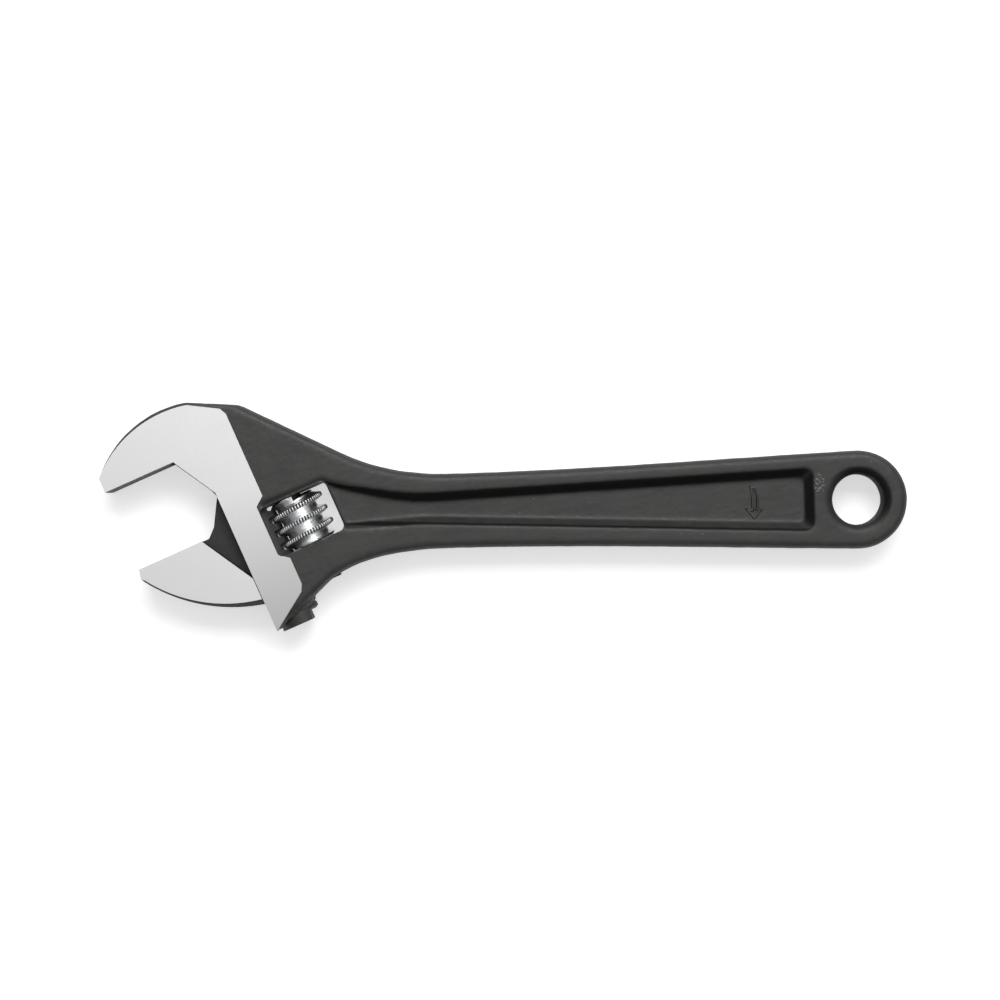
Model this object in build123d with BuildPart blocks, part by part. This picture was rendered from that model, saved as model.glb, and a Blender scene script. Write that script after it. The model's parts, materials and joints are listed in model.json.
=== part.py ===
from build123d import *
import os
from math import ceil, cos, pi, radians, sin, sqrt, tan

# Adjustable wrench of the 100 mm class: a drop-forged body, a movable jaw on a round rail, and a knurled
# worm that turns on a screw pin and drives the rack on the rail.
#
# Part frame: the origin is the centre of the hanging hole at mid thickness, +X runs along the handle away
# from the head, and +Z is square to the flat faces. The wrench is symmetric about the plane z = 0.
# Head frame: a is the distance from the rail's axis towards the jaw tips, b runs along the rail in the
# direction in which the jaw opens, and b = 0 is the fixed gripping face.

# ---- head: where it stands and how thick it is
head_reach = 90.21          # hanging hole to the head frame's origin, along X
head_rise = 10.73           # hanging hole to the head frame's origin, along Y
jaw_angle = 22.5            # between the gripping faces and the handle
head_thickness = 8.7        # over the ground side faces
ground_step = 0.25          # the ground faces stand this much above the forged ones
forged_edge = 0.4           # rounding of the forged head's long edges

# ---- jaws
jaw_reach = 17.8            # jaw tips, from the rail's axis
rest_opening = 11.88        # gap between the gripping faces as modelled
fixed_jaw_depth = 7.5       # gripping face to the top of the fixed jaw's back
fixed_back_radius = 16.0    # round back of the fixed jaw
face_root = 7.18            # inner end of the fixed gripping face
throat_slope = 30.0         # throat and jaw backs, from the slide direction
back_radius_centre = 5.9    # centre of that round back, from the rail's axis towards the tips
back_start = 2.2            # where the round back begins
black_margin = 0.45         # forged band left between a ground face and the jaw's back
tip_margin = 0.1            # the same at the jaw's tip
nose_bulge = 0.35           # the movable jaw's nose stands out below its gripping face
nose_height = 1.4
belly_radius = 23.5         # round belly of the movable jaw
belly_centre_a = -1.64      # its centre in the movable jaw's frame
belly_centre_b = -11.2
belly_band = 0.8            # forged band along the belly, where it meets the housing
belly_band_tip = 0.2        # the same at the nose
belly_chamfer = 0.5         # bevel of the belly's long edges

# ---- slide housing in the body
housing_wall = 0.44         # between the bore and the front of the housing
housing_length = 27.9       # fixed gripping face to the housing's lower tip
land_back = 2.4             # back edge of the ground strip, behind the rail's axis
land_step = 1.1             # length of the step to its narrow part beside the worm window
land_before_window = 0.5    # the strip is narrow from this far above the window's walls
land_corner = 0.5           # blunted corners of the strip
lower_tip_back_b = 24.6     # where the strip's back edge turns towards the housing's lower tip
shoulder_a = -4.5           # corner between the jaw's back and the shoulder
shoulder_b = -3.7
shoulder_end_a = -14.73     # where the straight shoulder runs into the neck of the handle
shoulder_end_b = 8.22

# ---- rail, rack and neck of the movable jaw
rail_radius = 3.0
rail_length = 19.2
rail_below_face = 16.4      # lower end of the rail, from the movable gripping face
bore_clearance = 0.06       # between the rail and its bore
neck_thickness = 3.0
neck_clearance = 0.1        # each side of the neck in its slot
neck_root = 6.65            # front of the neck at the movable gripping face
jaw_inner = 8.07            # inner end of the movable gripping face
jaw_back_gap = 0.1          # between the jaw's back and the housing's front
neck_fillet = 1.2           # corner between the neck and the gripping face
neck_gap = 0.35             # between the neck's front and the end of its slot
neck_sunk = 1.0             # how far the neck reaches into the jaw it carries
end_room = 0.3              # between the closed jaw and the ends of the bore and the slot

# ---- worm
core_gap = 0.1              # between the worm's core and the teeth of the rack
worm_radius = 4.0
worm_length = 7.2
worm_pitch = 2.0
thread_depth = 1.15
thread_crest = 0.65         # width of the thread at its crest
thread_base = 1.25          # width of the thread at its root
thread_phase = 2.2          # first crest that faces the rail, from the worm's upper end
rack_clearance = 0.12       # between the worm's thread and the rack's flanks
rack_root_gap = 0.25        # between the worm's crest and the rack's root
worm_chamfer = 0.9
worm_end_play = 0.1         # each end of the worm in its window
window_top = 11.1           # upper wall of the worm window, from the fixed gripping face
window_behind = 1.25        # window behind the worm, and in front of it
window_before = 0.95
window_corner = 0.8

# ---- pin and spring
pin_radius = 1.2
pin_running = 0.05          # between the pin and the worm
pin_fit = 0.02              # between the pin and the body
pin_tip_room = 0.3          # under the pin's end in its blind hole
pin_depth = 3.6             # pin's end above the window
pin_head_radius = 1.9
pin_head_height = 1.3
pin_sunk = 0.1              # the head's top below the corner of the lower edge
pin_slot_width = 0.5
pin_slot_depth = 0.6
spring_wire = 0.36
spring_radius = 1.65        # to the middle of the wire
spring_turns = 4
spring_room = 0.2           # round the spring in the worm's counterbore
spring_pocket = 3.0         # depth of that counterbore
spring_seat_gap = 0.1       # between the spring and the counterbore's bottom

# ---- handle
handle_thickness = 5.8
waist_half_width = 5.3
waist_to_head = 32.2        # waist to the head frame's origin, along X
edge_slope = 0.032          # slope of the handle's edges where they meet the eye
housing_lean = 1.6          # turns the lower edge towards the handle before it reaches the pin's corner
eye_radius = 7.0
hang_hole_radius = 3.6
eye_rounding = 1.25
rim_rounding = 1.0
web_thickness = 3.0
head_recess_depth = 1.0     # depth of the recess where it meets the worm window
rim_width = 2.55            # rim beside the recess at the waist
recess_end = 6.3            # end of the recess, from the hanging hole
recess_end_half = 4.5       # half width of the recess at its end
recess_lift = 0.2           # the recess runs this much off the middle there
recess_front = 0.7          # the recess's upper front corner, behind the ground strip's back edge
recess_over_window = 0.8    # recess above the window, and below its lower end
recess_under_window = 1.5
recess_flare = 10.0         # the recess begins to widen this far before the waist
recess_corner = 1.1
recess_draft = 42.0         # slope of the recess walls from square
taper_start = 14.5          # the head's thickness begins to fall this far from its origin, along X
taper_length = 16.0

# ---- values that follow
head_origin = (-head_reach, head_rise, 0)
toward_tips = (-cos(radians(jaw_angle)), -sin(radians(jaw_angle)), 0)
opening = (sin(radians(jaw_angle)), -cos(radians(jaw_angle)), 0)
head_plane = Plane(origin=head_origin, x_dir=toward_tips, z_dir=(0, 0, 1))
ground_half = head_thickness / 2
forged_half = ground_half - ground_step
handle_half = handle_thickness / 2
web_half = web_thickness / 2
neck_half = neck_thickness / 2
slot_half = neck_half + neck_clearance
bore_radius = rail_radius + bore_clearance
housing_front = bore_radius + housing_wall
rail_top = rail_below_face - rail_length
worm_core_radius = worm_radius - thread_depth
worm_axis = rail_radius + core_gap + worm_core_radius
window_back = worm_axis + worm_radius + window_behind
land_narrow = worm_axis - worm_radius - window_before
throat_tan = tan(radians(throat_slope))
throat_end_b = (face_root - housing_front) / throat_tan
neck_rise = (neck_root - housing_front) / throat_tan
window_length = worm_length + 2 * worm_end_play
window_bottom = window_top + window_length
worm_top = window_top + worm_end_play
pin_corner_b = 24.3         # where the pin's head comes out of the lower edge
pin_seat_b = pin_corner_b - pin_head_height - pin_sunk
worm_x = -worm_axis


def at_head(a, b):
    """Part-frame point of the head-frame point (a, b) at mid thickness."""
    return head_plane.from_local_coords(Vector(a, b, 0))


def across_head(a, b):
    """Plane square to the rail at the head-frame point (a, b), with its x towards the jaw tips."""
    return Plane(origin=at_head(a, b), x_dir=toward_tips, z_dir=opening)


def back_arc_local(a, radius):
    """Head-frame point on a round back of the fixed jaw, for a given a."""
    centre_b = fixed_back_radius - fixed_jaw_depth
    return (a, centre_b - sqrt(radius ** 2 - (a - back_radius_centre) ** 2))


def back_arc_point(a, radius):
    """The same point in the part frame."""
    return at_head(*back_arc_local(a, radius))


def jaw_belly_b(a):
    """Distance from the movable gripping face to its round belly, for a given a."""
    return sqrt(belly_radius ** 2 - (a - belly_centre_a) ** 2) + belly_centre_b


# ---- body: outline at mid thickness
shoulder_end = at_head(shoulder_end_a, shoulder_end_b)
shoulder_run = shoulder_end - at_head(shoulder_a, shoulder_b)
waist_x = -head_reach + waist_to_head
pin_corner = at_head(worm_x, pin_corner_b)
lower_tip = at_head(housing_front, housing_length)
lower_run = lower_tip - pin_corner
upper_edge = Vector(1, edge_slope, 0)
lower_edge = Vector(-1, edge_slope, 0)
housing_run = lower_run - Vector(housing_lean, 0, 0)

with BuildSketch(Plane.XY) as outline:
    with BuildLine():
        Line(at_head(face_root, 0), at_head(jaw_reach, 0))
        Line(at_head(jaw_reach, 0), back_arc_point(jaw_reach, fixed_back_radius))
        ThreePointArc(back_arc_point(jaw_reach, fixed_back_radius),
                      back_arc_point((jaw_reach + back_start) / 2, fixed_back_radius),
                      back_arc_point(back_start, fixed_back_radius))
        Line(back_arc_point(back_start, fixed_back_radius), at_head(shoulder_a, shoulder_b))
        Line(at_head(shoulder_a, shoulder_b), shoulder_end)
        Spline(shoulder_end, (waist_x, waist_half_width), tangents=(shoulder_run, (1, 0)))
        Spline((waist_x, waist_half_width), (0, eye_radius), tangents=((1, 0), upper_edge))
        ThreePointArc((0, eye_radius), (eye_radius, 0), (0, -eye_radius))
        Spline((0, -eye_radius), (waist_x, -waist_half_width), tangents=(lower_edge, (-1, 0)))
        Spline((waist_x, -waist_half_width), pin_corner, tangents=((-1, 0), housing_run))
        Line(pin_corner, lower_tip)
        Line(lower_tip, at_head(housing_front, throat_end_b))
        Line(at_head(housing_front, throat_end_b), at_head(face_root, 0))
    make_face()

def slab(sketch, half, mode=Mode.ADD):
    """Extrude a sketch to the same distance on both sides of the mid plane."""
    extrude(sketch.moved(Location((0, 0, -half))), amount=2 * half, mode=mode)


# ---- body: thickness, falling from the head to the handle
taper_x = -head_reach + taper_start
taper_end = taper_x + taper_length
far_left = -head_reach - 2 * jaw_reach
with BuildPart() as thickness:
    with BuildSketch(Plane.XZ.offset(-2 * jaw_reach)):
        with BuildLine():
            Line((far_left, -forged_half), (far_left, forged_half))
            Line((far_left, forged_half), (taper_x, forged_half))
            Spline((taper_x, forged_half), (taper_end, handle_half), tangents=((1, 0), (1, 0)))
            Line((taper_end, handle_half), (2 * eye_radius, handle_half))
            Line((2 * eye_radius, handle_half), (2 * eye_radius, -handle_half))
            Line((2 * eye_radius, -handle_half), (taper_end, -handle_half))
            Spline((taper_end, -handle_half), (taper_x, -forged_half), tangents=((-1, 0), (-1, 0)))
            Line((taper_x, -forged_half), (far_left, -forged_half))
        make_face()
    extrude(amount=4 * jaw_reach)

# ---- body: recess in the handle, down to the web
recess_waist = waist_half_width - rim_width
wall_run = tan(radians(recess_draft))


def recess_at(height):
    """Sketch of the recess at a height above the mid plane; its walls lean outwards."""
    spread = (height - handle_half) * wall_run
    end = recess_end - spread
    end_top = recess_end_half + recess_lift + spread
    end_low = recess_end_half - recess_lift + spread
    waist = recess_waist + spread
    head_spread = spread - (forged_half - handle_half) * wall_run
    low_front = at_head(-land_back, window_bottom - recess_under_window)
    top_front_b = window_top - recess_over_window - head_spread
    top_front = at_head(-land_back + recess_front, top_front_b)
    top_back = at_head(-window_back + recess_lift, top_front_b + recess_lift)
    low_back = at_head(-window_back, window_bottom + recess_lift + head_spread)
    top_run = Vector(1, -tan(radians(jaw_angle)), 0)
    along_top = Vector(1, (end_top - waist) / (-end - waist_x), 0)
    with BuildSketch(Plane.XY.offset(height)) as level:
        with BuildLine():
            Line(low_front, top_front)
            Line(top_front, top_back)
            Spline(top_back, (waist_x - recess_flare, waist), (waist_x, waist), tangents=(top_run, along_top))
            Line((waist_x, waist), (-end, end_top))
            Line((-end, end_top), (-end, -end_low))
            Line((-end, -end_low), low_back)
            Line(low_back, low_front)
        make_face()
        far_corners = level.vertices().filter_by(lambda corner: abs(corner.X + end) < 1e-6)
        fillet(far_corners, radius=recess_corner)
    return level.sketch


with BuildPart() as web:
    with BuildSketch(Plane.XZ.offset(-2 * jaw_reach)):
        with BuildLine():
            recess_level = forged_half - head_recess_depth
            Polyline((far_left, recess_level), (taper_x, recess_level))
            Spline((taper_x, recess_level), (taper_end, web_half), tangents=((1, 0), (1, 0)))
            Polyline((taper_end, web_half), (2 * eye_radius, web_half), (2 * eye_radius, 0), (far_left, 0),
                     (far_left, recess_level))
        make_face()
    extrude(amount=4 * jaw_reach)

with BuildPart() as recess_cutter:
    loft([recess_at(web_half), recess_at(ground_half)], ruled=True)
    add(web.part, mode=Mode.SUBTRACT)
    mirror(about=Plane.XY)

# ---- body: ground strip and ground side of the fixed jaw
narrow_start = window_top - land_before_window
narrow_end = window_bottom - land_before_window
land_end = lower_tip_back_b - land_corner
strip_end_b = housing_length - tip_margin
with BuildSketch(head_plane) as ground:
    with BuildLine():
        back_outer = back_arc_local(jaw_reach - tip_margin, fixed_back_radius - tip_margin)
        back_middle = back_arc_local((jaw_reach + back_start) / 2, fixed_back_radius - black_margin)
        back_inner = back_arc_local(back_start, fixed_back_radius - black_margin)
        Line((face_root, 0), (jaw_reach - tip_margin, 0))
        Line((jaw_reach - tip_margin, 0), back_outer)
        ThreePointArc(back_outer, back_middle, back_inner)
        Polyline(back_inner, (-land_back + land_corner, shoulder_b - land_corner),
                 (-land_back, shoulder_b + land_corner), (-land_back, narrow_start - land_step),
                 (-land_narrow, narrow_start), (-land_narrow, narrow_end),
                 (-land_back, narrow_end + land_step), (-land_back, land_end - 2 * land_corner),
                 (-land_back + land_corner, land_end), (housing_front, strip_end_b))
        Line((housing_front, strip_end_b), (housing_front, throat_end_b))
        Line((housing_front, throat_end_b), (face_root, 0))
    make_face()

# ---- body: the slot for the neck, open towards the jaw tips
slot_front = neck_root + neck_gap
with BuildSketch(head_plane) as neck_slot:
    with BuildLine():
        Polyline((0, rail_top - end_room), (housing_front, -neck_rise - end_room),
                 (housing_front + neck_gap, -neck_rise - end_room),
                 (slot_front - neck_fillet * throat_tan, -neck_fillet), (slot_front + neck_fillet, 0),
                 (slot_front + neck_fillet, neck_fillet), (jaw_reach, neck_fillet),
                 (jaw_reach, 2 * housing_length), (0, 2 * housing_length), close=True)
    make_face()


def forged_edges(part, keep_lines_along):
    """Edges round the flat faces of a blank, without the ones that run along a given axis."""
    level_edges = part.edges().filter_by(lambda edge: edge.length > 0.01)
    upright = part.edges().filter_by(Axis.Z)
    across = part.edges().filter_by(keep_lines_along)
    return [edge for edge in level_edges if edge not in upright and edge not in across]


def lies_level(edge, height):
    """True for an edge that lies on one of the two planes at this height from the mid plane."""
    return all(abs(abs((edge @ where).Z) - height) < 1e-4 for where in (0, 0.5, 1))


with BuildPart() as body:
    slab(outline.sketch, ground_half)
    add(thickness.part, mode=Mode.INTERSECT)
    rims = forged_edges(body.part, Axis.Y)
    handle_rims = [edge for edge in rims if (edge @ 0.5).X > taper_x]
    fillet(handle_rims, radius=rim_rounding)
    head_rims = [edge for edge in forged_edges(body.part, Axis.Y) if lies_level(edge, forged_half)]
    fillet(head_rims, radius=forged_edge)
    # ground side faces, and the recess down to the web
    slab(ground.sketch, ground_half)
    add(recess_cutter.part, mode=Mode.SUBTRACT)
    # eye
    with BuildSketch(Plane.XY):
        Circle(hang_hole_radius)
    extrude(amount=ground_half, both=True, mode=Mode.SUBTRACT)
    eye_edges = body.edges().filter_by(GeomType.CIRCLE)
    eye_edges = eye_edges.filter_by(lambda edge: abs(edge.radius - hang_hole_radius) < 1e-4)
    eye_edges = eye_edges.filter_by(lambda edge: edge.arc_center.length < handle_thickness)
    fillet(eye_edges, radius=eye_rounding)
    # worm window
    with BuildSketch(head_plane):
        with Locations(((-window_back - land_narrow) / 2, (window_top + window_bottom) / 2)):
            RectangleRounded(window_back - land_narrow, window_length, window_corner)
    extrude(amount=ground_half, both=True, mode=Mode.SUBTRACT)
    # rail bore, blind under the fixed jaw, and the slot for the neck
    with BuildSketch(across_head(0, rail_top - end_room)):
        Circle(bore_radius)
    extrude(amount=2 * housing_length, mode=Mode.SUBTRACT)
    slab(neck_slot.sketch, slot_half, mode=Mode.SUBTRACT)
    # pin hole, blind above the window, and the counterbore for the pin's head
    with BuildSketch(across_head(worm_x, window_top - pin_depth)):
        Circle(pin_radius + pin_fit)
    extrude(amount=2 * housing_length, mode=Mode.SUBTRACT)
    with BuildSketch(across_head(worm_x, pin_seat_b)):
        Circle(pin_head_radius + pin_fit)
    extrude(amount=housing_length, mode=Mode.SUBTRACT)

# ---- movable jaw
jaw_plane = Plane(origin=at_head(0, rest_opening), x_dir=toward_tips, z_dir=(0, 0, 1))
jaw_back = housing_front + jaw_back_gap
jaw_back_b = (jaw_inner - jaw_back) / throat_tan
jaw_belly = jaw_belly_b(jaw_back)
with BuildSketch(jaw_plane) as jaw_outline:
    with BuildLine():
        nose = (jaw_reach + nose_bulge, nose_height)
        belly_middle = (jaw_back + nose[0]) / 2
        Line((jaw_inner, 0), (jaw_reach, 0))
        Line((jaw_reach, 0), nose)
        Line(nose, (jaw_reach, jaw_belly_b(jaw_reach)))
        ThreePointArc((jaw_reach, jaw_belly_b(jaw_reach)), (belly_middle, jaw_belly_b(belly_middle)),
                      (jaw_back, jaw_belly))
        Line((jaw_back, jaw_belly), (jaw_back, jaw_back_b))
        Line((jaw_back, jaw_back_b), (jaw_inner, 0))
    make_face()

with BuildSketch(jaw_plane) as jaw_ground:
    with BuildLine():
        ground_nose = (jaw_reach - belly_band_tip, jaw_belly_b(jaw_reach) - belly_band_tip)
        ground_low = jaw_belly_b(jaw_back) - belly_band
        ground_middle = jaw_belly_b(belly_middle) - (belly_band + belly_band_tip) / 2
        Line((jaw_inner, 0), (jaw_reach, 0))
        Line((jaw_reach, 0), (nose[0] - belly_band_tip / 2, nose_height))
        Line((nose[0] - belly_band_tip / 2, nose_height), ground_nose)
        ThreePointArc(ground_nose, (belly_middle, ground_middle), (jaw_back, ground_low))
        Line((jaw_back, ground_low), (jaw_back, jaw_back_b))
        Line((jaw_back, jaw_back_b), (jaw_inner, 0))
    make_face()

with BuildSketch(jaw_plane) as neck:
    with BuildLine():
        Polyline((0, rail_top), (housing_front, -neck_rise),
                 (neck_root - neck_fillet * throat_tan, -neck_fillet), (neck_root + neck_fillet / 2, 0),
                 (jaw_inner + neck_sunk, 0),
                 (jaw_inner, jaw_belly - 4 * neck_sunk), (jaw_back, jaw_belly - neck_sunk),
                 (0, jaw_belly + neck_sunk), close=True)
    make_face()

first_crest_b = worm_top + thread_phase - rest_opening


def groove_half_width(radius):
    """Half width of a rack groove where it is this far from the worm's axis."""
    flank = (thread_base - thread_crest) / 2 / thread_depth
    return thread_crest / 2 + (worm_radius - radius) * flank + rack_clearance


def rack_groove(crest_b):
    """Sketch of one rack groove, square to the thread where it meets the rail."""
    mean_radius = worm_radius - thread_depth / 3
    lead_slope = worm_pitch / (2 * pi * mean_radius)
    along = Vector(0, 0, 1) - Vector(*opening) * lead_slope
    groove_start = jaw_plane.from_local_coords(Vector(0, crest_b, 0))
    plane = Plane(origin=groove_start, x_dir=toward_tips, z_dir=along)
    root = worm_radius + rack_root_gap
    top = worm_axis - rail_radius - rack_root_gap
    root_half = groove_half_width(root)
    top_half = groove_half_width(top)
    with BuildSketch(plane) as groove:
        with BuildLine():
            Polyline((root - worm_axis, -root_half), (root - worm_axis, root_half),
                     (top - worm_axis, top_half), (top - worm_axis, -top_half), close=True)
        make_face()
    return groove.sketch


with BuildPart() as movable_jaw:
    slab(jaw_outline.sketch, forged_half)
    belly_edges = movable_jaw.edges().filter_by(GeomType.CIRCLE)
    chamfer(belly_edges, length=belly_chamfer, length2=belly_chamfer)
    slab(jaw_ground.sketch, ground_half)
    slab(neck.sketch, neck_half)
    with BuildSketch(across_head(0, rail_top + rest_opening)):
        Circle(rail_radius)
    extrude(amount=rail_length)
    # rack: one groove for each turn of the thread, and a relieved end
    crest = first_crest_b - worm_pitch
    while crest < rail_below_face:
        extrude(rack_groove(crest), amount=2 * rail_radius, both=True, mode=Mode.SUBTRACT)
        crest += worm_pitch
    # the last tooth is followed by a flat down to the rail's end
    relief_length = 2 * worm_pitch + 2 * groove_half_width(worm_radius + rack_root_gap)
    with BuildSketch(jaw_plane):
        with Locations((worm_radius + rack_root_gap - worm_axis - rail_radius, crest)):
            Rectangle(2 * rail_radius, relief_length)
    extrude(amount=rail_radius, both=True, mode=Mode.SUBTRACT)

# ---- worm
def helix_on(plane, pitch, height, radius):
    """Right-hand helix about a plane's normal, from a point on the plane's x axis."""
    with BuildLine() as path:
        Helix(pitch=pitch, height=height, radius=radius)
    return path.edge().moved(plane.location)


worm_plane = across_head(worm_x, worm_top)
thread_start = thread_phase - ceil(thread_phase / worm_pitch + 1) * worm_pitch
thread_turns = ceil((worm_length - thread_start) / worm_pitch + 1)
thread_length = thread_turns * worm_pitch
thread_path = helix_on(worm_plane.offset(thread_start), worm_pitch, thread_length, worm_core_radius)
crest_room = 0.2
outside = worm_radius + crest_room
with BuildPart() as thread:
    with BuildSketch(Plane(origin=thread_path @ 0, x_dir=toward_tips, z_dir=thread_path % 0)):
        with BuildLine():
            Polyline((-crest_room, -thread_base / 2), (-crest_room, thread_base / 2), (0, thread_base / 2),
                     (thread_depth, thread_crest / 2), (thread_depth, -thread_crest / 2),
                     (0, -thread_base / 2), close=True)
        make_face()
    sweep(path=thread_path, is_frenet=True)
    # both ends of the thread are cut to the worm's length and its chamfers
    with BuildSketch(Plane(origin=worm_plane.origin, x_dir=toward_tips, z_dir=(0, 0, 1))):
        with BuildLine():
            Polyline((0, 0), (worm_radius - worm_chamfer, 0), (outside, worm_chamfer + crest_room),
                     (outside, worm_length - worm_chamfer - crest_room),
                     (worm_radius - worm_chamfer, worm_length), (0, worm_length), close=True)
        make_face()
    revolve(axis=Axis(worm_plane.origin, opening), mode=Mode.INTERSECT)

with BuildPart() as worm:
    with BuildSketch(worm_plane):
        Circle(worm_core_radius)
    extrude(amount=worm_length)
    add(thread.part)
    with BuildSketch(worm_plane):
        Circle(pin_radius + pin_running)
    extrude(amount=worm_length, mode=Mode.SUBTRACT)
    with BuildSketch(worm_plane.offset(worm_length - spring_pocket)):
        Circle(spring_radius + spring_wire / 2 + spring_room)
    extrude(amount=spring_pocket, mode=Mode.SUBTRACT)

# ---- worm pin
pin_plane = across_head(worm_x, window_top - pin_depth + pin_tip_room)
with BuildPart() as worm_pin:
    with BuildSketch(pin_plane):
        Circle(pin_radius)
    extrude(amount=pin_seat_b - window_top + pin_depth - pin_tip_room)
    with BuildSketch(across_head(worm_x, pin_seat_b)):
        Circle(pin_head_radius)
    extrude(amount=pin_head_height)
    with BuildSketch(across_head(worm_x, pin_seat_b + pin_head_height - pin_slot_depth)):
        Rectangle(3 * pin_head_radius, pin_slot_width)
    extrude(amount=pin_slot_depth, mode=Mode.SUBTRACT)

# ---- worm spring, ground flat at both ends
spring_top = window_bottom - worm_end_play - spring_pocket + spring_seat_gap
spring_length = window_bottom - spring_top
spring_plane = across_head(worm_x, spring_top)
spring_path = helix_on(spring_plane, spring_length / spring_turns, spring_length, spring_radius)
with BuildPart() as worm_spring:
    with BuildSketch(Plane(origin=spring_path @ 0, z_dir=spring_path % 0)):
        Circle(spring_wire / 2)
    sweep(path=spring_path, is_frenet=True)
    with BuildSketch(spring_plane):
        Circle(2 * spring_radius)
    extrude(amount=spring_length, mode=Mode.INTERSECT)

pieces = {"body": body, "movable_jaw": movable_jaw, "worm": worm, "worm_pin": worm_pin,
          "worm_spring": worm_spring}
os.makedirs("parts", exist_ok=True)
for name, piece in pieces.items():
    piece.part.label = name
    export_step(piece.part, "parts/" + name + ".step")
    box = piece.part.bounding_box()
    print(name, round(piece.part.volume, 1), "mm3", [round(v, 2) for v in (*box.min, *box.max)])
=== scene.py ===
import bmesh
import bpy
import json
import math
import numpy as np
from mathutils import Matrix, Vector


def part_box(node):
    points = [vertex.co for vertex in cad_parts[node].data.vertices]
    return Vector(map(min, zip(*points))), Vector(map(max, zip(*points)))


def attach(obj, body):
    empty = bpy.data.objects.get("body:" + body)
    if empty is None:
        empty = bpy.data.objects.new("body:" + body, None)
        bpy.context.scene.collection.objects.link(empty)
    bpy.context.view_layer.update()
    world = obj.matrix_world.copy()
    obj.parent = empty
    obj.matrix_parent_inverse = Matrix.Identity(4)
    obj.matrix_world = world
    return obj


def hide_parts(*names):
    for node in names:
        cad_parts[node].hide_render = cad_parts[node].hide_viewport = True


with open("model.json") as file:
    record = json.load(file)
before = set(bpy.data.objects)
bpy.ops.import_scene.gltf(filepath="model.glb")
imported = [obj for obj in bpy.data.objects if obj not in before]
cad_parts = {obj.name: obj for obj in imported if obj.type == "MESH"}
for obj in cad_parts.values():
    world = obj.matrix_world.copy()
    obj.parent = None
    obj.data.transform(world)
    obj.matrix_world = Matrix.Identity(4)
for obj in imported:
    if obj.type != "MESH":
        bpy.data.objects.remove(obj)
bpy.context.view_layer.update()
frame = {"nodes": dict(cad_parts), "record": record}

MM = 0.001
scene = bpy.context.scene
body_low, body_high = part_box("body")
SIDE_FACE = body_high.z

# ---- camera: straight above, framed on the wrench, the handle turned a little against the picture
VIEW_CENTRE = (-50.84 * MM, 1.35 * MM)
VIEW_WIDTH = 141.2 * MM
CAMERA_DISTANCE = 400.0 * MM
VIEW_ROLL = math.radians(-1.6)
SENSOR = 36.0
camera_data = bpy.data.cameras.new("camera")
camera_data.sensor_width = SENSOR
camera_data.lens = SENSOR * CAMERA_DISTANCE / VIEW_WIDTH
camera = bpy.data.objects.new("camera", camera_data)
camera.location = (VIEW_CENTRE[0], VIEW_CENTRE[1], SIDE_FACE + CAMERA_DISTANCE)
camera.rotation_euler = (0.0, 0.0, VIEW_ROLL)
scene.collection.objects.link(camera)
scene.camera = camera

# ---- head frame, from the joints: a runs towards the jaw tips, b the way the jaw opens
joints = {joint["name"]: joint for joint in frame["record"]["behaviour"]["joints"]}
mounts = {mount["name"]: mount for mount in frame["record"]["mounts"]}
OPENING = Vector(joints["jaw_slide"]["axis"]).normalized()
TIPS = OPENING.cross(Vector((0, 0, 1)))
worm_centre = Vector(joints["worm_spin"]["pos_m"])
fixed_face = Vector(mounts["fixed_jaw_face"]["pos_m"])
WORM_AXIS = 5.95 * MM       # worm's axis behind the rail's axis
HEAD = worm_centre + TIPS * WORM_AXIS
HEAD += OPENING * (fixed_face - HEAD).dot(OPENING)
HEAD_FRAME = Matrix((TIPS, OPENING, Vector((0, 0, 1)))).transposed().to_4x4()
HEAD_FRAME.translation = HEAD


# ---- mesh helpers
SPLIT_CORNER = 0.0002 * MM  # corners nearer than this are one corner


def add_object(name, mesh):
    piece = bpy.data.objects.new(name, mesh)
    scene.collection.objects.link(piece)
    return piece


def clean_copy(node):
    """Mesh of a CAD node with its split corners joined again."""
    work = bmesh.new()
    work.from_mesh(frame["nodes"][node].data)
    bmesh.ops.remove_doubles(work, verts=work.verts, dist=SPLIT_CORNER)
    mesh = bpy.data.meshes.new(node + "_copy")
    work.to_mesh(mesh)
    work.free()
    return mesh


def prism(name, points, low, high):
    """Closed prism over a polygon of head-frame millimetres, between two heights in metres."""
    work = bmesh.new()
    rings = []
    for z in (low, high):
        rings.append([work.verts.new(HEAD_FRAME @ Vector((a * MM, b * MM, z))) for a, b in points])
    work.faces.new(rings[0][::-1])
    work.faces.new(rings[1])
    count = len(points)
    for i in range(count):
        j = (i + 1) % count
        work.faces.new((rings[0][i], rings[0][j], rings[1][j], rings[1][i]))
    bmesh.ops.recalc_face_normals(work, faces=work.faces)
    mesh = bpy.data.meshes.new(name)
    work.to_mesh(mesh)
    work.free()
    return mesh


def rod(name, a, start, end, radius, sides=96):
    """Closed cylinder along the opening direction; all sizes in head-frame millimetres."""
    work = bmesh.new()
    rings = []
    for b in (start, end):
        ring = []
        for i in range(sides):
            turn = 2 * math.pi * i / sides
            local = Vector(((a + radius * math.cos(turn)) * MM, b * MM, radius * math.sin(turn) * MM))
            ring.append(work.verts.new(HEAD_FRAME @ local))
        rings.append(ring)
    work.faces.new(rings[0])
    work.faces.new(rings[1][::-1])
    for i in range(sides):
        j = (i + 1) % sides
        work.faces.new((rings[0][j], rings[0][i], rings[1][i], rings[1][j]))
    bmesh.ops.recalc_face_normals(work, faces=work.faces)
    mesh = bpy.data.meshes.new(name)
    work.to_mesh(mesh)
    work.free()
    return mesh


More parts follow.
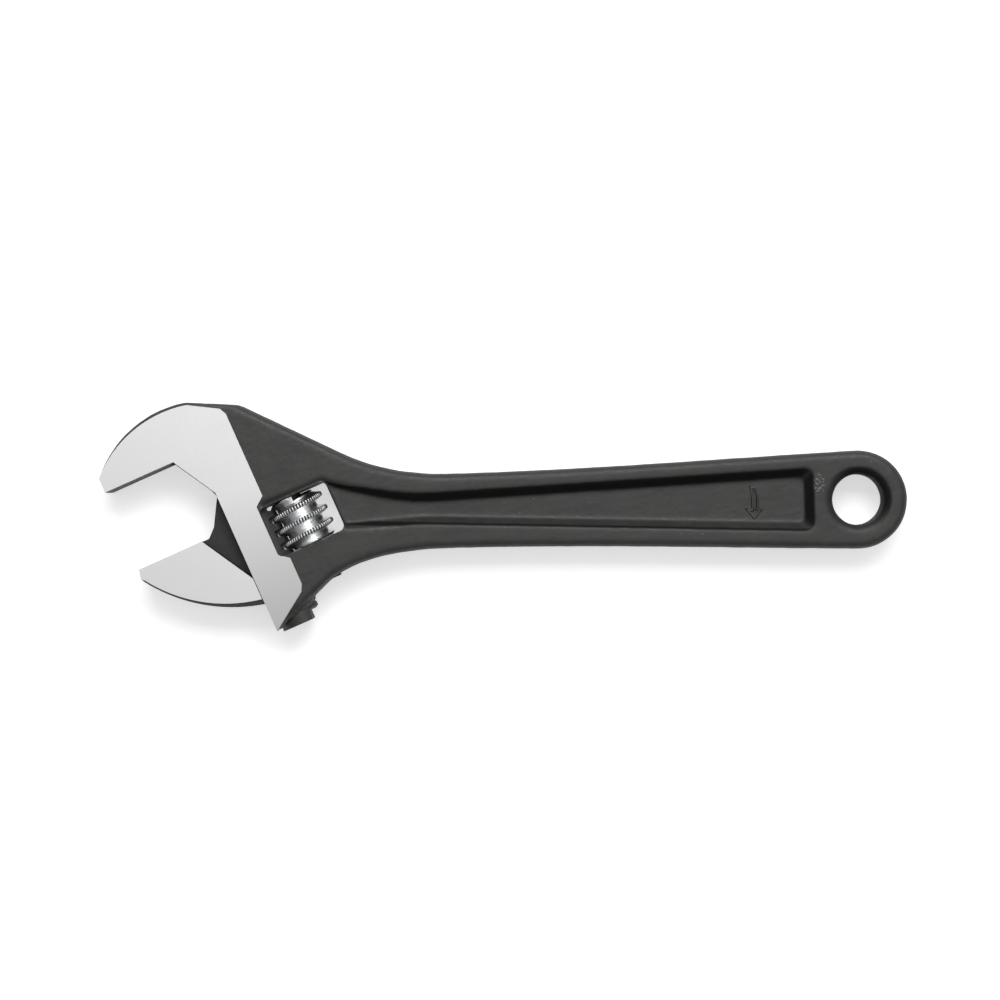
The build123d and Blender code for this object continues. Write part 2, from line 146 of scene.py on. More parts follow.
def applied(mesh, *steps):
    """New mesh from a mesh and modifiers, each given as (type, settings)."""
    piece = add_object("work", mesh)
    helpers = []
    for kind, settings in steps:
        modifier = piece.modifiers.new(kind.lower(), kind)
        for key, value in settings.items():
            if key == "object":
                value = add_object("work_tool", value)
                helpers.append(value)
            setattr(modifier, key, value)
    graph = bpy.context.evaluated_depsgraph_get()
    result = bpy.data.meshes.new_from_object(piece.evaluated_get(graph))
    for unused in [piece] + helpers:
        bpy.data.objects.remove(unused)
    return result


def combine(mesh, tools, operation):
    """Boolean of a mesh with each tool in turn."""
    for tool in tools:
        mesh = applied(mesh, ("BOOLEAN", {"operation": operation, "solver": "MANIFOLD", "object": tool}))
    return mesh


def points_of(mesh):
    flat = np.empty(len(mesh.vertices) * 3)
    mesh.vertices.foreach_get("co", flat)
    return flat.reshape(-1, 3)


def normals_of(mesh):
    flat = np.empty(len(mesh.vertices) * 3)
    mesh.vertices.foreach_get("normal", flat)
    return flat.reshape(-1, 3)


def edge_ends(mesh):
    """Both ways along every edge: the vertices it leaves, the ones it reaches, and edges per vertex."""
    flat = np.empty(len(mesh.edges) * 2, dtype=np.int64)
    mesh.edges.foreach_get("vertices", flat)
    edges = flat.reshape(-1, 2)
    ends = np.concatenate((edges[:, 0], edges[:, 1]))
    others = np.concatenate((edges[:, 1], edges[:, 0]))
    degree = np.maximum(np.bincount(ends, minlength=len(mesh.vertices)), 1)
    return ends, others, degree


def settled(values, net, rounds):
    """Moves a value per vertex halfway to the mean of its neighbours, as often as rounds says."""
    ends, others, degree = net
    for _ in range(rounds):
        mean = np.bincount(ends, weights=values[others], minlength=len(values)) / degree
        values = values + 0.5 * (mean - values)
    return values


def settled_points(mesh, net, rounds):
    points = points_of(mesh)
    return np.stack([settled(points[:, axis], net, rounds) for axis in range(3)], axis=1)


def move_points(mesh, points):
    mesh.vertices.foreach_set("co", points.ravel())
    mesh.update()


def store(mesh, name, values):
    """Keeps one number per vertex in the mesh, where a material can read it."""
    mesh.attributes.new(name, "FLOAT", "POINT").data.foreach_set("value", values.astype(np.float32))


# ---- body: forged blank softened as a whole, machined surfaces cut crisp afterwards
GROUND_STEP = 0.25 * MM
forged_face = SIDE_FACE - GROUND_STEP
# places and sizes in head-frame millimetres, as in the CAD model
WINDOW = (-11.2, -1.0, 11.1, 18.5)          # a from, a to, b from, b to
WINDOW_CORNER = 0.8
FACE_ROOT = 7.18            # inner end of the fixed gripping face
JAW_REACH = 17.8            # jaw tips
HOUSING_FRONT = 3.5
HOUSING_LENGTH = 27.9
THROAT_SLOPE = math.radians(30)
THROAT_END = (FACE_ROOT - HOUSING_FRONT) / math.tan(THROAT_SLOPE)
BORE = 3.06                 # radius of the rail's bore
BORE_START = -3.1
BORE_FILLED_TO = 27.0       # the blank's bore is filled to here before it is softened
SLOT_HALF = 1.6             # half the neck slot's width
SLOT_TOP = -5.76            # upper end of the neck slot, beside the neck of the closed jaw
SLOT_MOUTH = (8.2, 1.2)     # the slot opens into the jaw gap here
NECK_FRONT = (6.31, -1.2)
WORM_A = -WORM_AXIS / MM
PIN_HOLE = 1.22             # radii of the pin's hole and counterbore
PIN_HOLE_START = 7.5
COUNTERBORE = 1.92
COUNTERBORE_START = 22.9
COUNTERBORE_FILL = 1.95
COUNTERBORE_FILLED_TO = 23.9
WELL_PAST = 60.0            # cutters end here, clear of the metal
PAST_TIP = 3.0              # how far the jaw gap's cutter reaches past the metal
CORNER_STEPS = 8


def rounded_rectangle(a0, a1, b0, b1, radius):
    outline = []
    for centre_a, centre_b, start in ((a1 - radius, b1 - radius, 0), (a0 + radius, b1 - radius, 90),
                                      (a0 + radius, b0 + radius, 180), (a1 - radius, b0 + radius, 270)):
        for i in range(CORNER_STEPS + 1):
            turn = math.radians(start + 90 * i / CORNER_STEPS)
            outline.append((centre_a + radius * math.cos(turn), centre_b + radius * math.sin(turn)))
    return outline


# the throat's two corners are blunt: their points as steps in a and b from the sharp corner
LOWER_BLUNT = ((0.0, 0.9), (0.12, 0.25), (0.42, -0.55))
UPPER_BLUNT = ((-0.12, 0.42), (0.06, 0.14), (0.35, 0.0))


def jaw_gap(past):
    """Outline of the gap between the fixed jaw and the housing's lower end, reaching past the metal."""
    throat = [(HOUSING_FRONT + a, THROAT_END + b) for a, b in LOWER_BLUNT]
    throat += [(FACE_ROOT + a, b) for a, b in UPPER_BLUNT]
    tips, end = JAW_REACH + past, HOUSING_LENGTH + past
    return [throat[-1], (tips, 0.0), (tips, end), (HOUSING_FRONT, end)] + throat[:-1]


def neck_slot():
    mouth_a, mouth_b = SLOT_MOUTH
    return [(0.0, BORE_START), (HOUSING_FRONT, SLOT_TOP), (HOUSING_FRONT + 0.35, SLOT_TOP), NECK_FRONT,
            (mouth_a, 0.0), (mouth_a, mouth_b), (JAW_REACH, mouth_b), (JAW_REACH, WELL_PAST),
            (0.0, WELL_PAST)]


window_outline = rounded_rectangle(*WINDOW, WINDOW_CORNER)

VOXEL = 0.17 * MM            # cell of the remesh that the softening starts from
SOFTENING = 15              # rounds of smoothing
PAD_DEPTH = 1.2 * MM        # the ground pads reach this far into the blank
FLAT = 0.001 * MM


def flat_faces(mesh, height):
    """Prism under (or over) the flat faces that a mesh has at a height: the ground side faces."""
    work = bmesh.new()
    work.from_mesh(mesh)
    off = [face for face in work.faces if any(abs(v.co.z - height) > FLAT for v in face.verts)]
    bmesh.ops.delete(work, geom=off, context="FACES")
    sink = math.copysign(PAD_DEPTH, height)
    raised = bmesh.ops.extrude_face_region(work, geom=work.faces[:])
    for item in raised["geom"]:
        if isinstance(item, bmesh.types.BMVert):
            item.co.z -= sink
    bmesh.ops.recalc_face_normals(work, faces=work.faces)
    result = bpy.data.meshes.new("ground")
    work.to_mesh(result)
    work.free()
    return result


UNDULATION = ((3.2, 0.009), (1.3, 0.004), (0.6, 0.002))     # wavelength and height, millimetres
WAVES = 14                  # random waves for each wavelength
RIPPLE_SEED = 7
SKIN_SUNK = 0.8             # the skin is sunk by this share of the waves' height


def rippled(mesh):
    """Uneven skin of a drop forging: random waves along the normals."""
    rng = np.random.default_rng(RIPPLE_SEED)
    points = points_of(mesh)
    rise = np.zeros(len(points))
    for wavelength, height in UNDULATION:
        for _ in range(WAVES):
            direction = rng.normal(size=3)
            direction /= np.linalg.norm(direction)
            pitch = wavelength * MM * rng.uniform(0.7, 1.4)
            wave = np.sin(points @ direction * 2 * math.pi / pitch + rng.uniform(0, 7))
            rise += height * MM / math.sqrt(WAVES / 2) * wave
    rise -= SKIN_SUNK * sum(height for _, height in UNDULATION) * MM
    move_points(mesh, points + normals_of(mesh) * rise[:, None])


# direction arrow on the upper web: the outline of an arrow as a low rounded ridge, part-frame millimetres
ARROW_X = -14.78
ARROW_TOP, ARROW_TIP = 2.2, -2.2
ARROW_HALF = 0.95
ARROW_STEM = 0.3
ARROW_RIDGE = 0.16          # radius of the ridge
RIDGE_SIDES = 8
SHARPEST = 0.45             # keeps the ridge from growing at the arrow's sharp corners
arrow_outline = [(-ARROW_STEM, ARROW_TOP), (ARROW_STEM, ARROW_TOP - 0.25), (ARROW_STEM + 0.28, 0.4),
                 (ARROW_STEM + 0.1, -1.0), (ARROW_HALF, -1.1), (0.0, ARROW_TIP), (-ARROW_HALF, -1.0),
                 (-ARROW_STEM + 0.1, -1.15), (-ARROW_STEM + 0.12, 0.4)]


def ridge(points, height, radius):
    """Closed ring of round bar through points at one height, all in part-frame millimetres."""
    work = bmesh.new()
    count = len(points)
    rings = []
    for i in range(count):
        here = Vector(points[i])
        before = (here - Vector(points[i - 1])).normalized()
        after = (Vector(points[(i + 1) % count]) - here).normalized()
        along = (before + after).normalized()
        side = Vector((along.y, -along.x)) / max(SHARPEST, math.sqrt((1 + before.dot(after)) / 2))
        ring = []
        for k in range(RIDGE_SIDES):
            turn = 2 * math.pi * k / RIDGE_SIDES
            spot = here + side * radius * math.cos(turn)
            ring.append(work.verts.new((spot.x * MM, spot.y * MM, (height + radius * math.sin(turn)) * MM)))
        rings.append(ring)
    for i in range(count):
        j = (i + 1) % count
        for k in range(RIDGE_SIDES):
            m = (k + 1) % RIDGE_SIDES
            work.faces.new((rings[i][k], rings[i][m], rings[j][m], rings[j][k]))
    bmesh.ops.recalc_face_normals(work, faces=work.faces)
    mesh = bpy.data.meshes.new("ridge")
    work.to_mesh(mesh)
    work.free()
    return mesh


def web_height(mesh):
    """Height of the web's face beside the arrow, in millimetres."""
    points = points_of(mesh) / MM
    near = (abs(points[:, 0] - ARROW_X) < 1.5) & (abs(points[:, 1]) < 2.0) & (points[:, 2] > 0.5)
    return float(points[near, 2].mean())


# round back of the fixed jaw, drawn finer than the facets of the CAD mesh
BACK_RADIUS = 16.0
BACK_CENTRE = (5.9, 8.5)
BACK_FROM = 2.2
BLACK_MARGIN, TIP_MARGIN = 0.45, 0.1
BACK_STEPS = 72
INSIDE_JAW = 0.8            # the prism's other edge stays this far inside the jaw
BACK_EDGE = 0.4 * MM        # left to the CAD mesh's rounded edge on each side
BACK_PAD_DEPTH = 1.1 * MM
JUST_UNDER = 0.0004 * MM
INSIDE_FILL = 0.0005 * MM   # fillers end this far inside the forged faces
FAR_A, FAR_B = 40, (-40, 70)                # an area wider than the head and the handle's root


def back_point(a, radius):
    return (a, BACK_CENTRE[1] - math.sqrt(radius ** 2 - (a - BACK_CENTRE[0]) ** 2))


def arc_through(first, middle, last):
    """Points along the circle arc through three points."""
    (ax, ay), (bx, by), (cx, cy) = first, middle, last
    aa, bb, cc = ax * ax + ay * ay, bx * bx + by * by, cx * cx + cy * cy
    d = 2 * (ax * (by - cy) + bx * (cy - ay) + cx * (ay - by))
    ux = (aa * (by - cy) + bb * (cy - ay) + cc * (ay - by)) / d
    uy = (aa * (cx - bx) + bb * (ax - cx) + cc * (bx - ax)) / d
    radius = math.hypot(ax - ux, ay - uy)
    start, end = math.atan2(ay - uy, ax - ux), math.atan2(cy - uy, cx - ux)
    turns = [start + (end - start) * i / BACK_STEPS for i in range(BACK_STEPS + 1)]
    return [(ux + radius * math.cos(turn), uy + radius * math.sin(turn)) for turn in turns]


def jaw_back(tip, tip_radius, radius, low, high):
    """Prism from the round back into the fixed jaw."""
    arc = arc_through(back_point(tip, tip_radius), back_point((JAW_REACH + BACK_FROM) / 2, radius),
                      back_point(BACK_FROM, radius))
    inner_edge = [(BACK_FROM + INSIDE_JAW, -INSIDE_JAW), (tip - INSIDE_JAW, -INSIDE_JAW)]
    return prism("back", arc + inner_edge, low, high)


DEEP = 2 * SIDE_FACE         # cutters reach this far on both sides


def filled_blank(source):
    """The body without its machined openings or ground pads, for softening."""
    inside = forged_face - INSIDE_FILL
    back = forged_face - BACK_EDGE
    fillers = [prism("fill", window_outline, -inside, inside),
               rod("fill", 0, BORE_START, BORE_FILLED_TO, BORE),
               prism("fill", jaw_gap(0.0), -inside, inside),
               rod("fill", WORM_A, PIN_HOLE_START, COUNTERBORE_FILLED_TO, COUNTERBORE_FILL),
               jaw_back(JAW_REACH, BACK_RADIUS, BACK_RADIUS, -back, back)]
    blank = combine(source, fillers, "UNION")
    far = [(-FAR_A, FAR_B[0]), (FAR_A, FAR_B[0]), (FAR_A, FAR_B[1]), (-FAR_A, FAR_B[1])]
    planes = [prism("plane", far, forged_face, DEEP), prism("plane", far, -DEEP, -forged_face)]
    return combine(blank, planes, "DIFFERENCE")


def softened(blank):
    """Even cells all over, smoothed, with the uneven skin of a forging."""
    blank = applied(blank, ("REMESH", {"mode": "VOXEL", "voxel_size": VOXEL}))
    move_points(blank, settled_points(blank, edge_ends(blank), SOFTENING))
    rippled(blank)
    return blank


def machined(blank):
    """Window, jaw gap, bore, slot and pin hole, cut crisp."""
    cutters = [prism("cut", window_outline, -DEEP, DEEP), prism("cut", jaw_gap(PAST_TIP), -DEEP, DEEP),
               rod("cut", 0, BORE_START, WELL_PAST, BORE),
               prism("cut", neck_slot(), -SLOT_HALF * MM, SLOT_HALF * MM),
               rod("cut", WORM_A, PIN_HOLE_START, WELL_PAST, PIN_HOLE),
               rod("cut", WORM_A, COUNTERBORE_START, WELL_PAST, COUNTERBORE)]
    return combine(blank, cutters, "DIFFERENCE")


def make_body():
    source = clean_copy("body")
    ground_pads = [flat_faces(source, SIDE_FACE), flat_faces(source, -SIDE_FACE)]
    blank = softened(filled_blank(source))
    arrow = ridge([(ARROW_X + x, y) for x, y in arrow_outline], web_height(blank), ARROW_RIDGE)
    blank = machined(combine(blank, [arrow], "UNION"))
    pad = (JAW_REACH - TIP_MARGIN, BACK_RADIUS - TIP_MARGIN, BACK_RADIUS - BLACK_MARGIN)
    flush = SIDE_FACE - JUST_UNDER
    ground_pads.append(jaw_back(*pad, flush - BACK_PAD_DEPTH, flush))
    ground_pads.append(jaw_back(*pad, -flush, BACK_PAD_DEPTH - flush))
    result = combine(blank, ground_pads, "UNION")
    # a few softened points stand about 0.015 mm past the CAD body's box and are moved back onto it
    move_points(result, np.clip(points_of(result), tuple(body_low), tuple(body_high)))
    return result


WIDE_ROUNDS, EVEN_ROUNDS = 6, 3
EYE_REACH = 6.2 * MM        # the eye's bevel ends this far from the hanging hole's centre
RECESS_END = -30 * MM       # past this, walls that face the head belong to the recess
HANDLE_START = -78 * MM
PAINTED_SHADE_BAND = (2.3 * MM, 3.5 * MM)            # heights of the lower flank's band of painted shade: tone only, no shape
BAND_FADE = 0.4 * MM
FLANK_TOP = 3.7 * MM


def store_curvature(mesh):
    """How far each vertex stands out of its surroundings, in millimetres, averaged around it."""
    points = points_of(mesh)
    net = edge_ends(mesh)
    wide = settled_points(mesh, net, WIDE_ROUNDS)
    proud = np.einsum("ij,ij->i", points - wide, normals_of(mesh)) / MM
    store(mesh, "proud", settled(proud, net, EVEN_ROUNDS))


def store_painted_inward_shade(mesh):
    """Painted shade on walls that look inwards, where the black is made darker: the recess's flanks and the
    eye's bevel.
    """
    x, y, z = points_of(mesh).T
    normals = normals_of(mesh)
    reach = np.maximum(np.hypot(x, y), 0.1 * MM)
    height = np.abs(z)
    band = np.clip((height - PAINTED_SHADE_BAND[0]) / BAND_FADE, 0, 1)
    band *= np.clip((PAINTED_SHADE_BAND[1] - height) / BAND_FADE, 0, 1)
    flank = -normals[:, 1] * np.where(y > 0, 1.0, -band)
    flank = np.maximum(flank, np.where(x > RECESS_END, -normals[:, 0], 0.0))
    flank = np.clip((flank - 0.2) / 0.4, 0, 1) * (height < FLANK_TOP)
    eye = -(normals[:, 0] * x + normals[:, 1] * y) / reach
    eye = np.clip((eye - 0.05) / 0.25, 0, 1) * np.clip(0.45 + 0.75 * (x + y) / reach, 0.15, 1)
    painted_inward_shade = np.where(reach < EYE_REACH, eye, flank) * (x > HANDLE_START)
    store(mesh, "painted_inward_shade", np.clip(painted_inward_shade, 0, 1))


def shade_by_angle(piece, degrees):
    piece.data.polygons.foreach_set("use_smooth", [True] * len(piece.data.polygons))
    piece.data.set_sharp_from_angle(angle=math.radians(degrees))


BODY_SMOOTH, WORM_SMOOTH = 38, 50           # degrees: sharper edges stay crisp
body = add_object("wrench_body", make_body())
store_curvature(body.data)
store_painted_inward_shade(body.data)
shade_by_angle(body, BODY_SMOOTH)
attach(body, "frame")
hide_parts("body")

# ---- worm: one thread with a knurled crest, rounded valleys and bright coned ends
WORM_RADIUS = 4.0
WORM_CORE = 2.85
WORM_START, WORM_END = 11.2, 18.4           # along the opening direction
PITCH = 2.0
CREST_AT = 12.9                             # a crest's middle on the side that faces up
CREST_HALF, FLANK_END = 0.17, 0.78          # across the thread, from the middle of its crest
KNURLS = 56                                 # notches in one turn of the crest
KNURL_DEPTH = 0.16
NOTCH_EDGE, NOTCH_SLOPE = 0.56, 0.35        # the notch's share of each knurl and how soft its sides are
CREST_ZONE = 0.72                           # the notches run out below this share of the thread's height
THREAD_FADE = (-0.97, -0.80)                # the first turn of thread rises over these turns
THREAD_FROM, THREAD_FADED = -1.0, -0.5      # turns
CONE = 0.9                                  # length and depth of the coned ends
CONE_DEPTH = 0.85
ACROSS = 44                                 # mesh steps across one pitch and along one knurl
PER_KNURL = 8
WELD = 0.01 * MM
WORM_HOLE = 1.25                            # radii of the worm's hole and of the spring's room
SPRING_ROOM = 2.03
SPRING_FROM = 15.4
HOLE_SPAN = (5, 25)


def thread_height(across, turn):
    """Share of the thread's depth, from its distance to the crest and how far along the thread it is."""
    if across < CREST_HALF:
        height = 1.0
    elif across < FLANK_END:
        height = 0.5 + 0.5 * math.cos(math.pi * (across - CREST_HALF) / (FLANK_END - CREST_HALF))
    else:
        height = 0.0
    if turn < THREAD_FADED:
        low, high = THREAD_FADE
        height *= min(1.0, max(0.0, (turn - low) / (high - low)))
    return height


def thread_grid(per_turn, rows):
    """Rows along the thread, each across one pitch: place along the axis, radius, angle, notch, the notch
    also painting shade on the chrome.
    """
    step = PITCH / ACROSS
    grid = []
    for row in range(rows + 1):
        turn = THREAD_FROM + row / per_turn
        knurl = 0.5 + 0.5 * math.cos(2 * math.pi * KNURLS * turn)
        for k in range(ACROSS + 1):
            d = (k - ACROSS / 2) * step
            height = thread_height(abs(d), turn)
            crest = max(0.0, (height - CREST_ZONE) / (1 - CREST_ZONE))
            notch_and_shade = min(1.0, max(0.0, (NOTCH_EDGE - knurl) / NOTCH_SLOPE)) * min(1.0, crest * 1.6)
            radius = WORM_CORE + (WORM_RADIUS - WORM_CORE) * height - KNURL_DEPTH * notch_and_shade
            grid.append((CREST_AT + PITCH * turn + d, radius, 2 * math.pi * turn, notch_and_shade))
    return np.array(grid).T


def cut_ends(work):
    """Cuts the thread's mesh square at both ends of the worm and closes it there."""
    for at, side in ((WORM_START, -1), (WORM_END, 1)):
        place = HEAD + OPENING * at * MM
        geometry = work.verts[:] + work.edges[:] + work.faces[:]
        outwards = OPENING * side
        bmesh.ops.bisect_plane(work, geom=geometry, plane_co=place, plane_no=outwards, clear_outer=True)
        rim = []
        for edge in work.edges:
            if edge.is_boundary and all(abs((v.co - place).dot(OPENING)) < FLAT for v in edge.verts):
                rim.append(edge)
        bmesh.ops.holes_fill(work, edges=rim, sides=0)


def make_worm():
    per_turn = KNURLS * PER_KNURL
    rows = int(((WORM_END - WORM_START) / PITCH + 2.0) * per_turn)
    b, radius, angle, notches = thread_grid(per_turn, rows)
    for end in (b - WORM_START, WORM_END - b):
        limit = WORM_RADIUS - CONE_DEPTH + CONE_DEPTH * np.clip(end / CONE, 0, None)
        radius = np.minimum(radius, limit)
    verts = [HEAD_FRAME @ Vector(((WORM_A + r * math.sin(t)) * MM, y * MM, r * math.cos(t) * MM))
             for y, r, t in zip(b, radius, angle)]
    width = ACROSS + 1
    faces = []
    for row in range(rows):
        for k in range(ACROSS):
            p = row * width + k
            faces.append((p, p + 1, p + width + 1, p + width))
    mesh = bpy.data.meshes.new("worm")
    mesh.from_pydata(verts, [], faces)
    # the notches' share, which the chrome also reads as painted shade
    store(mesh, "notch_and_shade", notches)
    work = bmesh.new()
    work.from_mesh(mesh)
    bmesh.ops.remove_doubles(work, verts=work.verts, dist=WELD)
    cut_ends(work)
    bmesh.ops.recalc_face_normals(work, faces=work.faces)
    work.to_mesh(mesh)
    work.free()
    holes = [rod("cut", WORM_A, *HOLE_SPAN, WORM_HOLE)]
    holes.append(rod("cut", WORM_A, SPRING_FROM, HOLE_SPAN[1], SPRING_ROOM))
    return combine(mesh, holes, "DIFFERENCE")


worm = add_object("wrench_worm", make_worm())
shade_by_angle(worm, WORM_SMOOTH)
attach(worm, "worm")
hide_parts("worm")


# ---- floor
FLOOR_HALF = 1.5
FLOOR_GLOW = 0.55           # keeps the floor nearly white, with soft shadows
FLOOR_TONE = 0.86
corners = [(-FLOOR_HALF, -FLOOR_HALF), (FLOOR_HALF, -FLOOR_HALF)]
corners += [(FLOOR_HALF, FLOOR_HALF), (-FLOOR_HALF, FLOOR_HALF)]
floor_mesh = bpy.data.meshes.new("floor")
floor_mesh.from_pydata([(x, y, body_low.z) for x, y in corners], [], [(0, 1, 2, 3)])
floor = add_object("floor", floor_mesh)


def new_material(name):
    material = bpy.data.materials.new(name)
    material.use_nodes = True
    tree = material.node_tree
    return material, tree.nodes, tree.links, tree.nodes["Principled BSDF"]


material, nodes, links, shader = new_material("floor_white")
grain = nodes.new("ShaderNodeTexNoise")
grain.inputs["Scale"].default_value = 900.0
tint = nodes.new("ShaderNodeMapRange")
tint.inputs["To Min"].default_value = 0.55
tint.inputs["To Max"].default_value = 0.65
links.new(grain.outputs[0], tint.inputs["Value"])
links.new(tint.outputs[0], shader.inputs["Roughness"])
shader.inputs["Base Color"].default_value = (FLOOR_TONE, FLOOR_TONE, FLOOR_TONE, 1)
shader.inputs["Emission Color"].default_value = (1, 1, 1, 1)
shader.inputs["Emission Strength"].default_value = FLOOR_GLOW
floor_mesh.materials.append(material)


# ---- light: a key from behind the wrench's upper edge, a broad fill above and a graded surround
def area_light(name, size, place, aim, power):
    data = bpy.data.lights.new(name, "AREA")
    data.shape = "RECTANGLE"
    data.size, data.size_y = size
    data.energy = power
    light = bpy.data.objects.new(name, data)
    light.location = place
    light.rotation_euler = (Vector(aim) - Vector(place)).to_track_quat("-Z", "Y").to_euler()
    scene.collection.objects.link(light)


centre = (VIEW_CENTRE[0], VIEW_CENTRE[1], 0)
area_light("key", (0.42, 0.26), (-0.01, 0.32, 0.52), centre, 2.35)
area_light("fill", (0.8, 0.7), (-0.03, 0.08, 0.9), centre, 1.03)
world = bpy.data.worlds.new("world")
world.use_nodes = True
world_nodes, world_links = world.node_tree.nodes, world.node_tree.links
direction = world_nodes.new("ShaderNodeTexCoord")
parts = world_nodes.new("ShaderNodeSeparateXYZ")
world_links.new(direction.outputs["Generated"], parts.inputs[0])
fade = world_nodes.new("ShaderNodeMapRange")
fade.inputs["From Min"].default_value = -0.8
fade.inputs["From Max"].default_value = 0.8
fade.inputs["To Min"].default_value = 0.20
fade.inputs["To Max"].default_value = 0.30
world_links.new(parts.outputs["Y"], fade.inputs["Value"])
world_links.new(fade.outputs[0], world_nodes["Background"].inputs["Strength"])
world_nodes["Background"].inputs["Color"].default_value = (1, 1, 1, 1)
scene.world = world
scene.view_settings.view_transform = "Standard"


# ---- finishes
class Finish:
    """A material with short ways to add and join nodes."""

    def __init__(self, name):
        self.material, self.nodes, self.links, self.shader = new_material(name)
        self.where = self.nodes.new("ShaderNodeTexCoord").outputs["Object"]

    def put(self, value, socket):
        if isinstance(value, bpy.types.NodeSocket):
            self.links.new(value, socket)
        else:
            socket.default_value = value

    def math(self, operation, one, two=0.0, clamp=False):
        node = self.nodes.new("ShaderNodeMath")
        node.operation = operation
        node.use_clamp = clamp
        self.put(one, node.inputs[0])
        self.put(two, node.inputs[1])
        return node.outputs[0]

    def placed(self, turn=0.0, stretch=(1, 1, 1)):
        node = self.nodes.new("ShaderNodeMapping")
        node.inputs["Rotation"].default_value = (0, 0, turn)
        node.inputs["Scale"].default_value = stretch
        self.links.new(self.where, node.inputs["Vector"])
        return node.outputs["Vector"]

    def noise(self, size, detail=2.0, rough=0.5, where=None):
        """Noise whose blobs are about size millimetres wide."""
        node = self.nodes.new("ShaderNodeTexNoise")
        node.inputs["Scale"].default_value = 1.0 / (size * MM)
        node.inputs["Detail"].default_value = detail
        node.inputs["Roughness"].default_value = rough
        self.links.new(where or self.where, node.inputs["Vector"])
        return node.outputs[0]

    def ranged(self, value, low, high, out_low, out_high):
        node = self.nodes.new("ShaderNodeMapRange")
        self.put(value, node.inputs["Value"])
        for key, number in (("From Min", low), ("From Max", high)):
            self.put(number, node.inputs[key])
        for key, number in (("To Min", out_low), ("To Max", out_high)):
            self.put(number, node.inputs[key])
        return node.outputs[0]

    def blend(self, share, one, two):
        node = self.nodes.new("ShaderNodeMix")
        node.data_type = "RGBA"
        self.put(share, node.inputs["Factor"])
        self.put(one, node.inputs["A"])
        self.put(two, node.inputs["B"])
        return node.outputs["Result"]

    def bump(self, height, depth, below=None):
        """Bump whose full height range is depth millimetres."""
        node = self.nodes.new("ShaderNodeBump")
        node.inputs["Distance"].default_value = depth * MM
        node.inputs["Strength"].default_value = 1.0
        self.put(height, node.inputs["Height"])
        if below:
            self.links.new(below, node.inputs["Normal"])
        return node.outputs["Normal"]

    def set(self, **values):
        for key, value in values.items():
            self.put(value, self.shader.inputs[key.replace("_", " ")])


def grey(value, warm=0.0):
    return (value * (1 + warm), value, value * (1 - warm), 1.0)


# tones are linear; sizes handed to noise() and depths handed to bump() are millimetres
FORGED_TONE = 0.029
GROUND_TONE = 0.79
TURN = math.atan2(TIPS.y, TIPS.x)


def forged_parts(f, wear_and_highlight):
    """Colour, roughness and normal of blackened forging; the wear socket, from 0 to 1, lightens it with
    chips and rubbed edges, the edges also a painted highlight.
    """
    broad = f.noise(7.0, 3.0)
    patch = f.noise(1.6, 4.0, 0.6)
    fine = f.noise(0.22, 3.0, 0.6)
    dark, light = grey(FORGED_TONE * 0.88, 0.02), grey(FORGED_TONE * 1.12, 0.05)
    tone = f.blend(f.ranged(broad, 0.3, 0.7, 0, 1), dark, light)
    tone = f.blend(f.ranged(patch, 0.42, 0.72, 0, 0.5), tone, grey(FORGED_TONE * 1.45, 0.04))
    tone = f.blend(f.ranged(fine, 0.5, 0.78, 0, 0.4), tone, grey(FORGED_TONE * 2.1, 0.03))
    # lighter where worn: chips, and high edges that also carry a painted highlight
    tone = f.blend(wear_and_highlight, tone, grey(0.20, 0.03))
    rough = f.math("ADD", f.ranged(fine, 0.3, 0.7, 0.42, 0.60), f.ranged(patch, 0.3, 0.7, -0.05, 0.06))
    rough = f.math("SUBTRACT", rough, f.math("MULTIPLY", wear_and_highlight, 0.12))
    normal = f.bump(fine, 0.014)
    normal = f.bump(f.noise(0.8, 3.0), 0.02, normal)
    return tone, rough, normal


def matt_at_grazing(f, sunk_shade=0.0):
    """Keeps the rough skin from mirroring its surroundings along the surface, and, as painted shade, in
    sunk places.
    """
    weight = f.nodes.new("ShaderNodeLayerWeight")
    weight.inputs["Blend"].default_value = 0.5
    level = f.ranged(weight.outputs["Facing"], 0.35, 0.85, 0.5, 0.06)
    level = f.math("MULTIPLY", level, f.ranged(sunk_shade, 0.0, 1.0, 1.0, 0.25))
    f.put(level, f.shader.inputs["Specular IOR Level"])


